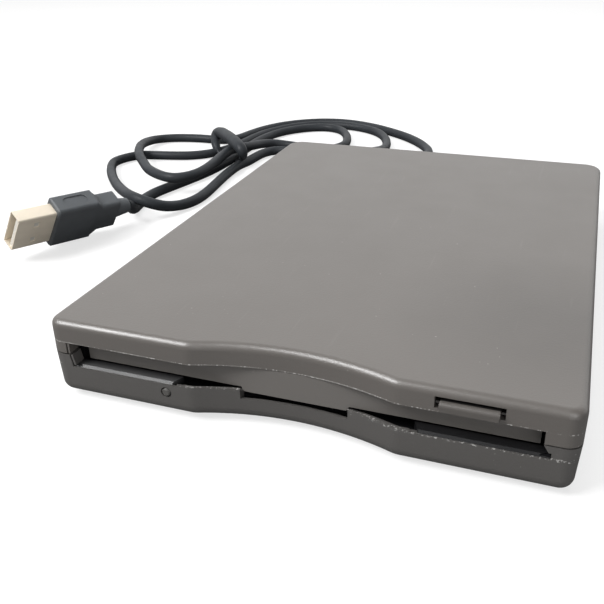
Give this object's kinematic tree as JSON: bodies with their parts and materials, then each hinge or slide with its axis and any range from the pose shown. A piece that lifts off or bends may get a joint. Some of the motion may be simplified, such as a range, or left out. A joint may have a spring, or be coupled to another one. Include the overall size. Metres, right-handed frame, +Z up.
{
  "type": "external floppy disk drive",
  "caption": "Slim external drive for 3.5-inch disks: plastic case with a flap-covered slot and push-button eject, working mechanism inside, and a folded fixed USB cable.",
  "frame": {"origin": "on the table below the middle of the drive, its button included, without the cable and its strain relief", "axes": "+Z up from the table, +Y from the slot's face towards the cable exit, +X to the right as seen from the slot's face"},
  "size_m": [0.1858, 0.2379, 0.018],
  "materials": {
    "case_plastic": "finely textured moulding",
    "flap_plastic": "smooth satin",
    "frame_metal": "black lacquer",
    "sheet_steel": "zinc plated",
    "pin_steel": "ground",
    "spring_steel": "drawn wire",
    "brass": "turned",
    "magnet": "matte",
    "copper_coil": "enamelled wire",
    "board_green": "solder mask",
    "chip_plastic": "moulded",
    "flex_film": "polyimide film",
    "carriage_plastic": "glass-filled moulding",
    "head_ceramic": "polished",
    "lens": "clear dark lens",
    "foot_rubber": "matte",
    "cord_rubber": "satin",
    "plug_metal": "nickel plated",
    "plug_white": "moulded",
    "contact_gold": "gold plated"
  },
  "bodies": {
    "case": {"top_shell": "case_plastic", "bottom_shell": "case_plastic", "rubber_feet": "foot_rubber", "led_lens": "lens", "drive_frame": "frame_metal", "drive_cover": "sheet_steel", "flap_spring": "spring_steel", "eject_springs": "spring_steel", "spindle_board": "board_green", "spindle_bearing": "brass", "spindle_stator": "copper_coil", "guide_rods": "pin_steel", "stepper_motor": "sheet_steel", "control_board": "board_green", "control_chips": "chip_plastic", "usb_board": "board_green", "usb_chips": "chip_plastic", "board_ribbon": "flex_film", "head_flex": "flex_film", "disk_switches": "chip_plastic", "track_sensor": "chip_plastic", "strain_relief": "cord_rubber", "usb_cord_lead": "cord_rubber", "usb_cord_hank": "cord_rubber", "usb_cord_tail": "cord_rubber", "plug_shell": "plug_metal", "plug_tongue": "plug_white", "plug_contacts": "contact_gold", "plug_overmould": "cord_rubber"},
    "slider": {"eject_slider": "sheet_steel", "eject_button": "case_plastic"},
    "holder": {"disk_holder": "sheet_steel", "holder_pins": "pin_steel", "lever_spring": "spring_steel"},
    "lever": {"shutter_lever": "sheet_steel"},
    "flap": {"dust_flap": "flap_plastic"},
    "rotor": {"spindle_rotor": "sheet_steel", "rotor_magnet": "magnet", "spindle_hub": "pin_steel", "drive_pin": "pin_steel"},
    "carriage": {"head_carriage": "carriage_plastic", "lower_head": "head_ceramic", "carriage_follower": "carriage_plastic", "arm_pivot": "pin_steel", "arm_spring": "spring_steel"},
    "arm": {"upper_arm": "sheet_steel", "upper_head": "head_ceramic"},
    "screw": {"lead_screw": "pin_steel"}
  },
  "joints": [
    {"name": "eject_slide", "type": "slide", "parent": "case", "child": "slider", "axis": [0, 1, 0], "range_m": [-0.006, 0], "deforming": ["eject_springs"]},
    {"name": "holder_drop", "type": "slide", "parent": "case", "child": "holder", "axis": [0, 0, 1], "range_m": [-0.002, 0]},
    {"name": "lever_turn", "type": "hinge", "parent": "holder", "child": "lever", "pos_m": [-0.039, 0.002, 0.01335], "axis": [0, 0, 1], "range_deg": [0, 75], "stiffness_Nm_per_rad": 0.0006, "springref_deg": -8.59, "deforming": ["lever_spring"]},
    {"name": "flap_hinge", "type": "hinge", "parent": "case", "child": "flap", "pos_m": [0, -0.0665, 0.0126], "axis": [1, 0, 0], "range_deg": [0, 90], "stiffness_Nm_per_rad": 0.0003, "springref_deg": -11.46, "deforming": ["flap_spring"]},
    {"name": "spindle_spin", "type": "hinge", "parent": "case", "child": "rotor", "pos_m": [0, -0.0204, 0.005], "axis": [0, 0, 1], "continuous": true},
    {"name": "head_slide", "type": "slide", "parent": "case", "child": "carriage", "axis": [0, -1, 0], "range_m": [0, 0.0148], "deforming": ["head_flex"]},
    {"name": "arm_hinge", "type": "hinge", "parent": "carriage", "child": "arm", "pos_m": [0, 0.0486, 0.0102], "axis": [1, 0, 0], "range_deg": [0, 9.17], "deforming": ["arm_spring"]},
    {"name": "screw_turn", "type": "hinge", "parent": "case", "child": "screw", "pos_m": [-0.02, 0.0376, 0.0086], "axis": [0, 1, 0], "range_deg": [0, 1777]}
  ],
  "couplings": [
    {"joint": "holder_drop", "follows": "eject_slide", "ratio": 0.33333},
    {"joint": "arm_hinge", "follows": "eject_slide", "rad_per_m": -26.66},
    {"joint": "screw_turn", "follows": "head_slide", "rad_per_m": 2094.4}
  ]
}
